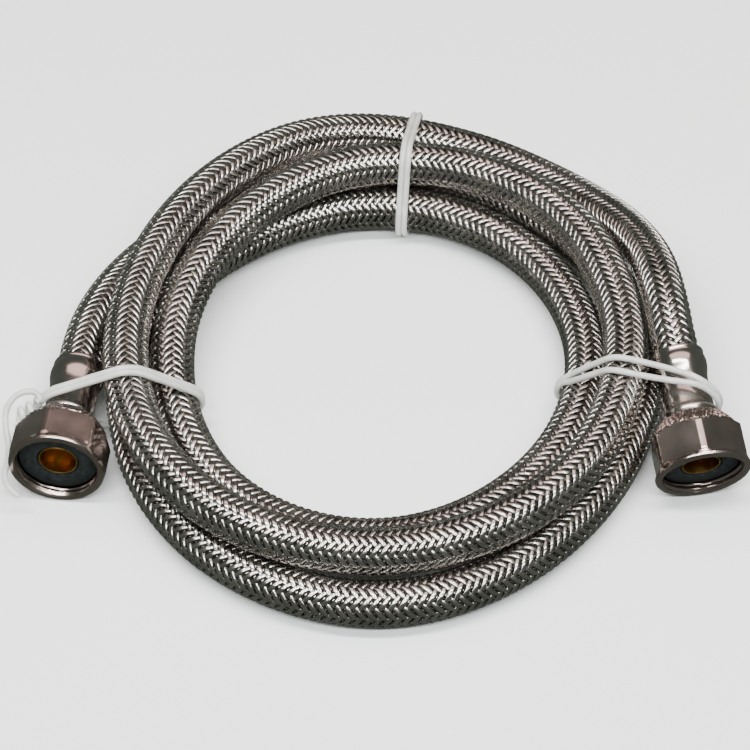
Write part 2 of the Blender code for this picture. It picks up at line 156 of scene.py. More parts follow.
def tie_lift(points):
    """How much the strands are raised by the tie wires passing under them."""
    lift = np.zeros(len(points))
    angle = np.degrees(np.arctan2(points[:, 1] - RING_AT[1], RING_AT[0] - points[:, 0]))
    for tie_angle in LIFT_ANGLES:
        off = np.abs((angle - tie_angle + 180.0) % 360.0 - 180.0)
        near = np.clip(1.0 - (off - TIE_FLAT) / TIE_LIFT_SPREAD, 0.0, 1.0)
        lift = np.maximum(lift, TIE_LIFT * near * near * (3.0 - 2.0 * near))
    return lift


def fitting_balls():
    """Balls that stand for the end fittings while the strands settle beside them."""
    centres = []
    sizes = []
    for centre, axis in (LEFT_END, RIGHT_END):
        for depth, radius in FITTING_BALLS:
            centres.append(centre - axis * depth)
            sizes.append(radius)
    return np.array(centres), np.array(sizes)


def settle(start):
    """Push strands of different turns apart until none touch; the ends stay where they are."""
    n = len(start)
    along = np.concatenate([[0.0], np.cumsum(np.linalg.norm(np.diff(start, axis=0), axis=1))])
    at_end = np.minimum(along, along[-1] - along)
    radius = np.where(at_end < INSERT + CLEAR, FERRULE_MAX_R, HOSE_D / 2)
    free = np.clip((at_end - INSERT - LEAD) / LANE, 0.0, 1.0)[:, None]
    other = np.abs(along[:, None] - along[None, :]) > SAME_STRAND * HOSE_D
    need = radius[:, None] + radius[None, :] + CLEAR + SETTLE_SPARE
    balls, ball_r = fitting_balls()
    ball_need = ball_r[None, :] + radius[:, None] + CLEAR + SETTLE_SPARE
    ball_on = at_end[:, None] > INSERT + SETTLE_STIFF * LEAD
    floor = HOSE_D / 2 + tie_lift(start)
    shift = np.zeros((n, 3))
    shift[:, 2] = tie_lift(start) * free[:, 0]
    for _ in range(SETTLE_ROUNDS):
        now = start + shift
        gap = now[:, None, :] - now[None, :, :]
        dist = np.linalg.norm(gap, axis=2) + 1e-9
        press = np.where(other, np.clip(need - dist, 0.0, None), 0.0)
        push = (gap * (press / dist)[:, :, None]).sum(axis=1)
        push /= np.maximum((press > 0.0).sum(axis=1), 1)[:, None]
        gap = now[:, None, :] - balls[None, :, :]
        dist = np.linalg.norm(gap, axis=2) + 1e-9
        press = np.where(ball_on, np.clip(ball_need - dist, 0.0, None), 0.0)
        push += (gap * (press / dist)[:, :, None]).max(axis=1)
        push += (gap * (press / dist)[:, :, None]).min(axis=1)
        shift += SETTLE_PUSH * push * free
        blur = shift.copy()
        blur[1:-1] = (2.0 * shift[1:-1] + shift[:-2] + shift[2:]) / 4.0
        shift = shift + SETTLE_BLUR * (blur - shift) * free
        low = floor - (start + shift)[:, 2]
        shift[:, 2] += np.clip(low, 0.0, None) * free[:, 0]
    return start + shift


def hose_route():
    """Centre line of the whole hose as settled samples."""
    return settle(spline(control_points()))


# ---- mesh helpers ---------------------------------------------------------------------------------
TUBE_SHARP = 50.0           # degrees between faces that stay sharp on a tube
END_ROUND_R = 0.05          # a tube's rounded-in end, in radii: its small ring ...
END_ROUND_OUT = 0.15        # ... and how far that stands out


def mesh_piece(name, verts, quads, material, sharp, uv=None):
    """A shaded piece from arrays of vertices and four-cornered faces."""
    mesh = bpy.data.meshes.new(name)
    verts = np.asarray(verts, dtype=float)
    quads = np.asarray(quads, dtype=int)
    mesh.vertices.add(len(verts))
    mesh.vertices.foreach_set("co", verts.ravel())
    mesh.loops.add(quads.size)
    mesh.loops.foreach_set("vertex_index", quads.ravel())
    mesh.polygons.add(len(quads))
    mesh.polygons.foreach_set("loop_start", np.arange(0, quads.size, 4))
    mesh.polygons.foreach_set("loop_total", np.full(len(quads), 4))
    mesh.update(calc_edges=True)
    mesh.validate()
    if uv is not None:
        layer = mesh.uv_layers.new(name="lay")
        layer.data.foreach_set("uv", np.asarray(uv, dtype=float)[quads.ravel()].ravel())
    mesh.shade_smooth()
    if sharp:
        mesh.set_sharp_from_angle(angle=math.radians(sharp))
    mesh.materials.append(material)
    item = bpy.data.objects.new(name, mesh)
    bpy.context.scene.collection.objects.link(item)
    return item


def wrap_quads(rows, columns, close_rows=False, base=0):
    """Faces of a grid whose columns close on themselves."""
    i = np.arange(rows if close_rows else rows - 1)[:, None]
    k = np.arange(columns)[None, :]
    j = (i + 1) % rows
    m = (k + 1) % columns
    quads = np.stack([i * columns + k, i * columns + m, j * columns + m, j * columns + k], axis=-1)
    return quads.reshape(-1, 4) + base


def carried_frames(points):
    """Side and up directions along a path, carried without twisting."""
    tangent = np.gradient(points, axis=0)
    tangent /= np.linalg.norm(tangent, axis=1)[:, None]
    side = np.cross(tangent[0], (0.3, 0.2, 1.0))
    sides = []
    ups = []
    for t in tangent:
        side = side - t * np.dot(side, t)
        side = side / np.linalg.norm(side)
        sides.append(side)
        ups.append(np.cross(side, t))
    return np.array(sides), np.array(ups)


def level_frames(points):
    """Side and up directions along the hose, with side kept level."""
    tangent = np.gradient(points, axis=0)
    tangent /= np.linalg.norm(tangent, axis=1)[:, None]
    side = np.cross(tangent, (0.0, 0.0, 1.0))
    side /= np.linalg.norm(side, axis=1)[:, None]
    return side, np.cross(side, tangent)


def tube_piece(name, points, frames, radii, sides, material):
    """A closed tube with rounded-in ends along a path."""
    side, up = frames
    a = 2.0 * math.pi * np.arange(sides) / sides
    ring = side[:, None, :] * np.cos(a)[None, :, None] + up[:, None, :] * np.sin(a)[None, :, None]
    verts = points[:, None, :] + ring * np.asarray(radii)[:, None, None]
    tangent = np.gradient(points, axis=0)
    tangent /= np.linalg.norm(tangent, axis=1)[:, None]
    first = points[0] + ring[0] * radii[0] * END_ROUND_R - tangent[0] * radii[0] * END_ROUND_OUT
    last = points[-1] + ring[-1] * radii[-1] * END_ROUND_R + tangent[-1] * radii[-1] * END_ROUND_OUT
    verts = np.concatenate([first[None], verts, last[None]])
    rows = len(points) + 2
    quads = wrap_quads(rows, sides)
    item = mesh_piece(name, verts.reshape(-1, 3), quads, material, TUBE_SHARP)
    close_ends(item.data)
    return item


def close_ends(mesh):
    """Cap the small open rings and point all normals outwards."""
    shell = bmesh.new()
    shell.from_mesh(mesh)
    edges = [e for e in shell.edges if e.is_boundary]
    bmesh.ops.holes_fill(shell, edges=edges, sides=0)
    bmesh.ops.recalc_face_normals(shell, faces=shell.faces)
    shell.to_mesh(mesh)
    shell.free()


def smooth_path(points, step):
    """Even points on a Catmull-Rom curve through the given ones."""
    points = np.asarray(points, dtype=float)
    ends = np.concatenate([[2 * points[0] - points[1]], points, [2 * points[-1] - points[-2]]])
    out = []
    for i in range(1, len(ends) - 2):
        p0, p1, p2, p3 = ends[i - 1:i + 3]
        count = max(2, int(np.linalg.norm(p2 - p1) / (0.25 * step)))
        for k in range(count):
            t = k / count
            out.append(0.5 * ((2 * p1) + (p2 - p0) * t + (2 * p0 - 5 * p1 + 4 * p2 - p3) * t ** 2
                              + (3 * p1 - p0 - 3 * p2 + p3) * t ** 3))
    out.append(points[-1])
    return even_path(np.array(out), step)


def even_path(points, step):
    """The same line with points a fixed step apart."""
    at = np.concatenate([[0.0], np.cumsum(np.linalg.norm(np.diff(points, axis=0), axis=1))])
    count = max(4, int(round(at[-1] / step)))
    where = np.linspace(0.0, at[-1], count + 1)
    return np.stack([np.interp(where, at, points[:, k]) for k in range(3)], axis=1)


# ---- materials -------------------------------------------------------------------------------------
WIRES = 6                   # wires side by side in a bundle, as ridges in the material
NOISE_LOW, NOISE_HIGH = 0.3, 0.7    # most of a noise texture lies between these
BRAID_SHADE = 0.72          # brightness of the dull patches against the tint
METAL_SHADE = 0.82


class Nodes:
    """Short calls for building a node material."""

    def __init__(self, name):
        self.material = bpy.data.materials.new(name)
        self.material.use_nodes = True
        self.tree = self.material.node_tree
        self.shader = self.tree.nodes["Principled BSDF"]

    def add(self, kind, **values):
        node = self.tree.nodes.new(kind)
        for key, value in values.items():
            setattr(node, key, value)
        return node

    def link(self, out, into):
        self.tree.links.new(out, into)

    def noise(self, scale, detail):
        coords = self.add("ShaderNodeTexCoord")
        noise = self.add("ShaderNodeTexNoise")
        noise.inputs["Scale"].default_value = scale
        noise.inputs["Detail"].default_value = detail
        self.link(coords.outputs["Object"], noise.inputs["Vector"])
        return noise.outputs["Fac"]

    def ramp(self, fac, stops):
        ramp = self.add("ShaderNodeValToRGB")
        for element, (at, colour) in zip(ramp.color_ramp.elements, stops):
            element.position = at
            element.color = (*colour, 1.0)
        self.link(fac, ramp.inputs["Fac"])
        return ramp.outputs["Color"]

    def span(self, fac, low, high):
        span = self.add("ShaderNodeMapRange")
        span.inputs["From Min"].default_value = NOISE_LOW
        span.inputs["From Max"].default_value = NOISE_HIGH
        span.inputs["To Min"].default_value = low
        span.inputs["To Max"].default_value = high
        self.link(fac, span.inputs["Value"])
        return span.outputs["Result"]

    def bump(self, height, strength, distance):
        bump = self.add("ShaderNodeBump")
        bump.inputs["Strength"].default_value = strength
        bump.inputs["Distance"].default_value = distance
        self.link(height, bump.inputs["Height"])
        self.link(bump.outputs["Normal"], self.shader.inputs["Normal"])

    def put(self, socket, value):
        self.shader.inputs[socket].default_value = value


def braid_steel(name, tint):
    """Bundles of drawn stainless wire: fine lines along each bundle."""
    m = Nodes(name)
    m.put("Metallic", 1.0)
    patches = m.noise(90.0, 3.0)
    dark = tuple(c * BRAID_SHADE for c in tint)
    m.link(m.ramp(patches, [(0.35, dark), (0.65, tint)]), m.shader.inputs["Base Color"])
    m.link(m.span(m.noise(400.0, 2.0), 0.16, 0.26), m.shader.inputs["Roughness"])
    uv = m.add("ShaderNodeUVMap", uv_map="lay")
    split = m.add("ShaderNodeSeparateXYZ")
    m.link(uv.outputs["UV"], split.inputs["Vector"])
    wires = m.add("ShaderNodeMath", operation="MULTIPLY")
    wires.inputs[1].default_value = 2.0 * math.pi * WIRES
    m.link(split.outputs["X"], wires.inputs[0])
    wave = m.add("ShaderNodeMath", operation="COSINE")
    m.link(wires.outputs["Value"], wave.inputs[0])
    m.bump(wave.outputs["Value"], 0.18, 0.05 * MM)
    return m.material


def smooth_metal(name, tint, low, high, scale):
    """Plated or pressed metal with faint cloudiness and handling marks."""
    m = Nodes(name)
    m.put("Metallic", 1.0)
    clouds = m.noise(scale, 5.0)
    dark = tuple(c * METAL_SHADE for c in tint)
    m.link(m.ramp(clouds, [(NOISE_LOW, dark), (NOISE_HIGH, tint)]), m.shader.inputs["Base Color"])
    m.link(m.span(clouds, low, high), m.shader.inputs["Roughness"])
    m.bump(m.noise(scale * 12.0, 2.0), 0.08, 0.05 * MM)
    return m.material


def rubber(name, tint, roughness):
    """Matt rubber with a fine grain."""
    m = Nodes(name)
    grain = m.noise(900.0, 3.0)
    light = tuple(min(1.0, c * 1.8 + 0.01) for c in tint)
    m.link(m.ramp(grain, [(0.35, tint), (0.75, light)]), m.shader.inputs["Base Color"])
    m.link(m.span(grain, roughness - 0.1, roughness + 0.1), m.shader.inputs["Roughness"])
    m.put("Specular IOR Level", 0.25)
    m.bump(grain, 0.2, 0.05 * MM)
    return m.material


def tie_plastic(name):
    """Milky plastic coat."""
    m = Nodes(name)
    clouds = m.noise(160.0, 4.0)
    m.link(m.ramp(clouds, [(NOISE_LOW, (0.52, 0.53, 0.50)), (NOISE_HIGH, (0.70, 0.70, 0.68))]),
           m.shader.inputs["Base Color"])
    m.link(m.span(clouds, 0.28, 0.42), m.shader.inputs["Roughness"])
    m.put("Subsurface Weight", 0.25)
    m.put("Subsurface Radius", (0.0012, 0.0012, 0.001))
    m.bump(m.noise(700.0, 2.0), 0.1, 0.08 * MM)
    return m.material


LOOKS = {
    "weave": braid_steel("weave_steel", (0.49, 0.46, 0.43)),
    # the sleeve's dark greenish colour is painted shade, seen in the gaps between the bundles
    "under": rubber("braid_shadow", (0.055, 0.062, 0.045), 0.6),
    "liner": rubber("liner_rubber", (0.02, 0.02, 0.02), 0.7),
    "ferrule": smooth_metal("ferrule_steel", (0.44, 0.40, 0.37), 0.14, 0.24, 60.0),
    "nut": smooth_metal("nut_nickel", (0.42, 0.34, 0.31), 0.16, 0.28, 70.0),
    "brass": smooth_metal("nipple_brass", (0.72, 0.47, 0.14), 0.2, 0.34, 90.0),
    "washer": rubber("washer_rubber", (0.004, 0.007, 0.007), 0.8),
    "coat": tie_plastic("tie_coat"),
    "wire": smooth_metal("tie_wire", (0.5, 0.5, 0.5), 0.25, 0.4, 300.0),
}


# ---- camera ----------------------------------------------------------------------------------------
CAMERA_ELEVATION = 48.15    # degrees
CAMERA_DISTANCE = 0.95
CAMERA_TARGET = (2.94 * MM, -0.90 * MM, 0.0)
CAMERA_SHIFT = -0.0093
SENSOR_WIDTH = 36.0         # millimetres, like the lens
LENS = 136.5
FAR_CLIP = 20.0


def make_camera():
    """The viewing angle: straight from the front, looking down at 48 degrees."""
    camera = bpy.data.cameras.new("camera")
    camera.sensor_width = SENSOR_WIDTH
    camera.lens = LENS
    camera.clip_end = FAR_CLIP
    item = bpy.data.objects.new("camera", camera)
    bpy.context.scene.collection.objects.link(item)
    pitch = math.radians(CAMERA_ELEVATION)
    target = Vector(CAMERA_TARGET)
    back = Vector((0.0, -math.cos(pitch), math.sin(pitch)))
    item.location = target + back * CAMERA_DISTANCE
    item.rotation_euler = (math.pi / 2.0 - pitch, 0.0, 0.0)
    camera.shift_x = CAMERA_SHIFT
    bpy.context.scene.camera = item


# ---- hose ------------------------------------------------------------------------------------------
CARRIERS = 12               # bundles each way round
PICK = 2.75 * MM            # along the hose from one bundle to the next of the same way
FILL = 0.88                 # how much of its lane a bundle fills
WEAVE_R = 7.01 * MM         # middle of the weave
WEAVE_RISE = 0.32 * MM      # how far a bundle goes over and under
BUNDLE_CROWN = 0.30 * MM    # middle of a bundle above its edges
BUNDLE_ACROSS = (-1.0, -0.42, 0.42, 1.0)    # a bundle's four edges, in half widths ...
BUNDLE_RISE = (-1.0, 0.0, 0.0, -1.0)        # ... and how far each is raised, in crowns
WEAVE_PAST_NECK = 1.0 * MM  # the bundles start this far past the sleeve's neck
TUCK_LEN = 1.5 * MM         # their last stretch bends down ...
TUCK = 0.5 * MM             # ... by this much
LINE_STEP = 0.5 * MM        # points along the line that the weave follows
CORE_STEP = 2.5 * MM        # and along the sleeve
CORE_SIDES = 24
CORE_R = 6.55 * MM          # sleeve under the weave; its dark greenish colour is painted shade seen between the bundles
CORE_NECK = 0.6 * MM        # how much thinner it is inside a ferrule


def hose_line():
    """Even points along the hose from inside one ferrule to inside the other, with frames."""
    samples = hose_route()
    dense = smooth_path(samples, LINE_STEP)
    side, up = level_frames(dense)
    at = np.concatenate([[0.0], np.cumsum(np.linalg.norm(np.diff(dense, axis=0), axis=1))])
    return at, dense, side, up


def on_hose(line, where, angle, radius):
    """Points on the hose: distance along it, angle round it and radius."""
    at, dense, side, up = line
    base = np.stack([np.interp(where, at, dense[:, k]) for k in range(3)], axis=-1)
    s = np.stack([np.interp(where, at, side[:, k]) for k in range(3)], axis=-1)
    u = np.stack([np.interp(where, at, up[:, k]) for k in range(3)], axis=-1)
    ray = s * np.cos(angle)[..., None] + u * np.sin(angle)[..., None]
    return base + ray * np.asarray(radius)[..., None]


def weave_height(columns):
    """Over two bundles, under two: 1 on top and -1 below, by the half lanes round the hose."""
    return np.cos(math.pi / 2.0 * (columns - 0.5))


def weave_piece(name, line, numbers, way):
    """Bundles that wind one way, each a closed crowned ribbon."""
    start = INSERT - SQUEEZE + WEAVE_PAST_NECK
    stop = line[0][-1] - start
    steps = int((stop - start) / (PICK / 4.0))
    step = np.arange(steps + 1)
    where = start + step * PICK / 4.0
    lane = 2.0 * math.pi / CARRIERS
    skin = HOSE_D / 2
    angle_of_braid = math.atan2(lane * skin, PICK)
    half = 0.5 * FILL * lane * skin * math.cos(angle_of_braid)
    end = np.clip(np.minimum(where - start, stop - where) / TUCK_LEN, 0.0, 1.0)
    verts = []
    quads = []
    uvs = []
    rows = len(where)
    for i in numbers:
        columns = 2.0 * i + way * step / 2.0
        angle = columns * lane / 2.0
        height = way * weave_height(columns)
        for across, rise in zip(BUNDLE_ACROSS, BUNDLE_RISE):
            shift_along = -way * across * half * math.sin(angle_of_braid)
            shift_round = across * half * math.cos(angle_of_braid) / skin
            radius = WEAVE_R + WEAVE_RISE * height + BUNDLE_CROWN * (0.5 + rise)
            radius = radius - TUCK * (1.0 - end)
            verts.append(on_hose(line, where + shift_along, angle + shift_round, radius))
            uvs.append(np.stack([np.full(rows, 0.5 + 0.5 * across), where / HOSE_D], axis=1))
    verts = np.array(verts).reshape(len(numbers), 4, rows, 3).transpose(0, 2, 1, 3)
    uvs = np.array(uvs).reshape(len(numbers), 4, rows, 2).transpose(0, 2, 1, 3)
    last = 4 * rows - 1
    for base in range(0, len(numbers) * rows * 4, rows * 4):
        quads.append(wrap_quads(rows, 4, base=base))
        quads.append(base + np.array([[0, 1, 2, 3], [last, last - 1, last - 2, last - 3]]))
    quads = np.concatenate(quads)
    if way > 0:
        quads = quads[:, ::-1]
    item = mesh_piece(name, verts.reshape(-1, 3), quads, LOOKS["weave"], None, uvs.reshape(-1, 2))
    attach(item, "line")
    return item


def make_hose():
    """The dark sleeve body, its colour painted shade seen between the bundles, and the woven bundles
    over it, attached to the line's body.
    """
    line = hose_line()
    core = even_path(line[1], CORE_STEP)
    frames = level_frames(core)
    at = np.concatenate([[0.0], np.cumsum(np.linalg.norm(np.diff(core, axis=0), axis=1))])
    inside = np.minimum(at, at[-1] - at)
    radii = np.interp(inside, [INSERT - SQUEEZE, INSERT], [CORE_R - CORE_NECK, CORE_R])
    sleeve = tube_piece("hose_shade_sleeve", core, frames, radii, CORE_SIDES, LOOKS["under"])
    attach(sleeve, "line")
    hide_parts("hose_braid")
    for way, label in ((1, "right_hand"), (-1, "left_hand")):
        for part in range(2):
            numbers = range(part * CARRIERS // 2, (part + 1) * CARRIERS // 2)
            name = "weave_%s_%d" % (label, part + 1)
            weave_piece(name, line, numbers, way)
    return line


# ---- end fittings, in millimetres ------------------------------------------------------------------
COLUMNS = 288               # points round a nut
SMALL_COLUMNS = 96          # round a ferrule and a nipple
WASHER_COLUMNS = 120
HEX_FLAT_R = 14.0
HEX_CORNER_R = 15.7
HEX_START = 1.3             # the round rim turns hexagonal from this depth ...
HEX_BLEND = 1.5             # ... over this length
HEX_FIRST_ROW = 5           # and from this row of the rim
THREAD_PITCH = 2.21         # 11.5 threads to the inch
THREAD_ZONE = (0.6, 3.3)
THREAD_R = 12.75            # crests of the internal thread
THREAD_DEPTH = 0.62
THREAD_STEEP = 2.6          # slope of the thread's flanks
THREAD_CREST = 0.15         # and how much is cut off at the crests
KNURL_ZONE = (14.3, 19.4)
KNURLS = 44
KNURL_LEAD = 0.95           # depth in which a groove turns by one radian of its wave
KNURL_HEIGHT = 0.78
KNURL_SINK = 0.32           # how far the grooves lie under the plain cone

# outlines of (depth behind the mouth, radius)
FERRULE_OUTLINE = (
    (15.8, 8.0), (16.1, 8.25), (19.6, 8.3), (20.3, 8.5), (20.7, 8.8), (21.3, 8.9),
    (22.0, 8.8), (22.5, 8.45), (23.2, 8.2), (25.0, 8.1), (29.0, 8.05), (33.0, 8.1),
    (35.0, 8.3), (36.5, 8.65), (37.8, 8.88), (39.3, 8.92), (40.6, 8.75), (41.5, 8.45),
    (42.0, 8.35), (42.5, 8.5), (43.0, 8.55), (43.4, 8.4), (43.5, 8.1),
    (43.3, 7.75), (42.8, 7.62), (41.0, 7.35), (23.0, 7.25), (22.6, 6.9), (15.8, 6.9),
)
NIPPLE_OUTLINE = (
    (3.85, 6.2), (3.95, 6.3), (6.5, 6.3), (6.5, 11.9), (6.65, 12.15), (6.8, 12.2), (7.7, 12.2),
    (7.9, 12.0), (7.9, 7.2), (8.2, 6.9), (15.4, 6.4), (22.9, 4.2), (23.0, 3.3), (27.0, 3.7),
    (27.2, 3.3), (31.0, 3.7), (31.2, 3.3), (35.0, 3.7), (39.5, 3.2), (39.5, 2.6),
    (17.4, 2.6), (16.8, 3.0), (16.2, 3.9), (15.8, 4.9), (14.6, 5.6), (12.0, 5.75),
    (3.95, 5.9), (3.85, 6.0),
)
WASHER_OUTLINE = (
    (3.6, 7.0), (3.6, 12.2), (3.75, 12.42), (4.0, 12.5), (5.8, 12.5), (6.05, 12.42),
    (6.2, 12.2), (6.2, 7.0), (6.05, 6.78), (5.8, 6.7), (4.0, 6.7), (3.75, 6.78),
)


def axis_frame(end):
    """Mouth centre and the side, up and out directions of a fitting."""
    centre, out = end
    side = np.cross((0.0, 0.0, 1.0), out)
    side /= np.linalg.norm(side)
    return np.array(centre), side, np.cross(out, side), np.array(out)


def turned_piece(name, end, depths, radii, material, body, node, columns=COLUMNS, sharp=35.0):
    """A closed ring from depths (rows) and radii (rows, or rows by columns), in millimetres."""
    centre, side, up, out = axis_frame(end)
    angle = 2.0 * math.pi * np.arange(columns) / columns
    depths = np.asarray(depths, dtype=float)
    radii = np.asarray(radii, dtype=float)
    if radii.ndim == 1:
        radii = np.repeat(radii[:, None], columns, axis=1)
    ray = side * np.cos(angle)[:, None] + up * np.sin(angle)[:, None]
    verts = centre + (ray[None] * radii[..., None] - out * depths[:, None, None]) * MM
    quads = wrap_quads(len(depths), columns, close_rows=True)
    item = mesh_piece(name, verts.reshape(-1, 3), quads, material, sharp)
    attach(item, body)
    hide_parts(node)
    return item


def fine_line(points, step):
    """Corner points of a profile, with long runs divided."""
    out = [points[0]]
    for a, b in zip(points[:-1], points[1:]):
        count = max(1, int(math.hypot(b[0] - a[0], b[1] - a[1]) / step))
        for k in range(1, count + 1):
            out.append((a[0] + (b[0] - a[0]) * k / count, a[1] + (b[1] - a[1]) * k / count))
    return out


def hexagon(angle, flat_at):
    """Radius of the hexagon with its corners turned off, by direction."""
    sixth = math.pi / 3.0
    off = (angle - math.radians(flat_at) + sixth / 2.0) % sixth - sixth / 2.0
    return np.minimum(HEX_FLAT_R / np.cos(off), HEX_CORNER_R)


def knurling(depth, angle):
    """Height of the crossed grooves on the cone."""
    turn = (depth - KNURL_ZONE[0]) / KNURL_LEAD
    teeth = np.minimum(np.abs(np.sin(KNURLS / 2.0 * angle + turn)),
                       np.abs(np.sin(KNURLS / 2.0 * angle - turn)))
    inside = (depth > KNURL_ZONE[0]) & (depth < KNURL_ZONE[1])
    return np.where(inside, KNURL_HEIGHT * teeth - KNURL_SINK, 0.0)


def thread_radius(depth, angle, plain):
    """Radius of the internal thread, and the plain wall before and behind it."""
    phase = (depth / THREAD_PITCH + angle / (2.0 * math.pi)) % 1.0
    root = np.clip(THREAD_STEEP * np.abs(phase - 0.5) - THREAD_CREST, 0.0, 1.0)
    cut = (depth > THREAD_ZONE[0]) & (depth < THREAD_ZONE[1])
    return np.where(cut, THREAD_R + THREAD_DEPTH * root, plain)


def make_nut(side_name, end, flat_at):
    """Hexagonal swivel nut: rounded rim, flats, knurled cone, internal thread, rear hole."""
    rim = [(0.0, 13.7), (0.0, 14.3), (0.1, 14.75), (0.35, 15.15), (0.75, 15.42), (1.3, 15.5),
           (1.9, 15.42), (2.3, 15.25), (2.6, 15.1)]
    body = fine_line([(2.8, 15.7), (12.8, 15.7)], 0.8) + [(13.2, 15.3), (13.6, 14.7), (13.9, 14.25)]
    cone = fine_line([(14.1, 14.1), (17.0, 12.1), (19.5, 9.95)], 0.2) + [(19.75, 9.7), (19.8, 9.45)]
    rear = [(19.7, 9.15), (19.4, 9.1), (9.85, 9.1), (9.7, 9.3), (9.7, 13.1), (9.5, 13.3),
            (3.6, 13.3), (3.45, 13.25)]
    thread = fine_line([(3.35, 13.1), (0.7, 13.1)], 0.15) + [(0.5, 13.15), (0.2, 13.4)]
    rows = np.array(rim + body + cone + rear + thread)
    depth = rows[:, :1]
    radii = np.repeat(rows[:, 1:], COLUMNS, axis=1)
    angle = (2.0 * math.pi * np.arange(COLUMNS) / COLUMNS)[None, :]
    in_blend = slice(HEX_FIRST_ROW, len(rim))
    in_body = slice(len(rim), len(rim) + len(body))
    in_cone = slice(in_body.stop, in_body.stop + len(cone))
    in_thread = slice(len(rows) - len(thread), len(rows))
    flat = hexagon(angle, flat_at)
    blend = np.clip((depth[in_blend] - HEX_START) / HEX_BLEND, 0.0, 1.0)
    radii[in_blend] = radii[in_blend] * (1 - blend) + flat * blend
    radii[in_body] = np.minimum(radii[in_body], flat)
    radii[in_cone] += knurling(depth[in_cone], angle)
    radii[in_thread] = thread_radius(depth[in_thread], angle, radii[in_thread])
    turned_piece(side_name + "_nut_body", end, depth[:, 0], radii, LOOKS["nut"],
                 side_name + "_nut", side_name + "_nut", sharp=28.0)


def make_small_parts(side_name, end):
    """Ferrule, nipple and washer of one end."""
    for label, outline, look, slot, body, node, columns in (
            ("_ferrule_shell", FERRULE_OUTLINE, "ferrule", "crimped_steel", "line",
             "_ferrule", SMALL_COLUMNS),
            ("_nipple_body", NIPPLE_OUTLINE, "brass", "brass", "line",
             "_nipple", SMALL_COLUMNS),
            ("_washer_ring", WASHER_OUTLINE, "washer", "washer_rubber", side_name + "_washer",
             "_washer", WASHER_COLUMNS)):
        depths, radii = zip(*outline)
        turned_piece(side_name + label, end, depths, radii, LOOKS[look], body,
                     side_name + node, columns)


# ---- ties ------------------------------------------------------------------------------------------
# A tie's plane stands at an angle round the ring, with a shift along the hose and a lean per height.
# knot: direction of the corner where the two ends meet, in degrees
# spread: how far each of the two turns stands off the plane over the top of the bundle
# tails: steps (out, along, up) of the two free ends from the knot, in millimetres
TIES = {
    "top_tie": {
        "angle": 97.0, "shift": -1.2 * MM, "lean": 0.0, "knot": -20.0, "spread": 1.0 * MM,
        "tails": (((0.3, -2.0, 0.0), (0.5, -6.0, 0.0)), ((0.3, 1.0, 0.0),)),
    },
    "right_tie": {
        "angle": 197.0, "shift": -7.7 * MM, "lean": 0.17, "knot": -65.0, "spread": 2.9 * MM,
        "tails": (((0.0, -2.0, 0.0), (0.2, -6.0, 0.0)), ((0.2, 1.0, 0.0),)),
    },
    "left_tie": {
        "angle": -5.3, "shift": -10.6 * MM, "lean": -0.2, "knot": 35.0, "spread": 1.0 * MM,
    },
}
COAT_R = 1.0 * MM
COAT_SIDES = 14
WIRE_R = 0.42 * MM
WIRE_SIDES = 8
TIE_STEP = 0.8 * MM
TIE_FLOOR = COAT_R + 0.22 * MM      # lowest height of a tie's centre line
BAND_FLOOR = COAT_R + 0.25 * MM     # and of the band that it is drawn along
BAND_PAD = COAT_R + 0.15 * MM       # how far the band stands off the hose
BAND_STEP = 3.0 * MM
OUTLINE_STEP = 10           # degrees between points round a strand
TURNS_APART = 1.0 * MM      # half the distance between the two turns
MEET_AT = 0.88              # how far across the bundle the two turns come together again
PART_BLUNT = 0.8            # under 1, the turns part early and meet late

# The left tie's long end bows out and down beside the nut, and its short end is coiled up. Both are
# in steps (out, along, up) from the knot, in millimetres.
LONG_END = (
    (1.6, 1.0, 1.6), (4.4, 1.2, 2.4), (7.6, 0.8, 1.6), (10.2, -0.8, 0.0), (11.7, -3.2, -2.0),
    (12.0, -5.6, -3.6), (11.9, -8.6, -5.2), (11.4, -12.0, -6.8), (11.7, -17.0, -9.2),
    (12.9, -22.0, -9.8), (12.4, -26.2, -9.8), (10.6, -29.0, -10.6), (8.6, -30.6, -11.6),
)
COIL_AXIS = ((1.2, -0.6, -2.6), (8.6, -4.8, -3.8))
COIL_R = 2.3
COIL_TURNS = 2.75
COIL_FROM = 100.0           # degrees
COIL_STEPS = 28


def tie_plane(tie):
    """Origin of a tie's plane and its directions: outwards, along the hose and up the lean."""
    a = math.radians(tie["angle"])
    out = np.array([-math.cos(a), math.sin(a), 0.0])
    along = np.array([math.sin(a), math.cos(a), 0.0])
    origin = np.array([RING_AT[0], RING_AT[1], 0.0]) + along * tie["shift"]
    return origin, out, along, UP + along * tie["lean"]


def hull(points):
    """Convex outline of points in a plane, anticlockwise."""
    ordered = sorted(points)
    halves = []
    for run in (ordered, ordered[::-1]):
        half = []
        for p in run:
            while len(half) > 1:
                ax, ay = half[-1][0] - half[-2][0], half[-1][1] - half[-2][1]
                bx, by = p[0] - half[-1][0], p[1] - half[-1][1]
                if ax * by - ay * bx > 1e-12:
                    break
                half.pop()
            half.append(p)
        halves += half[:-1]
    return halves


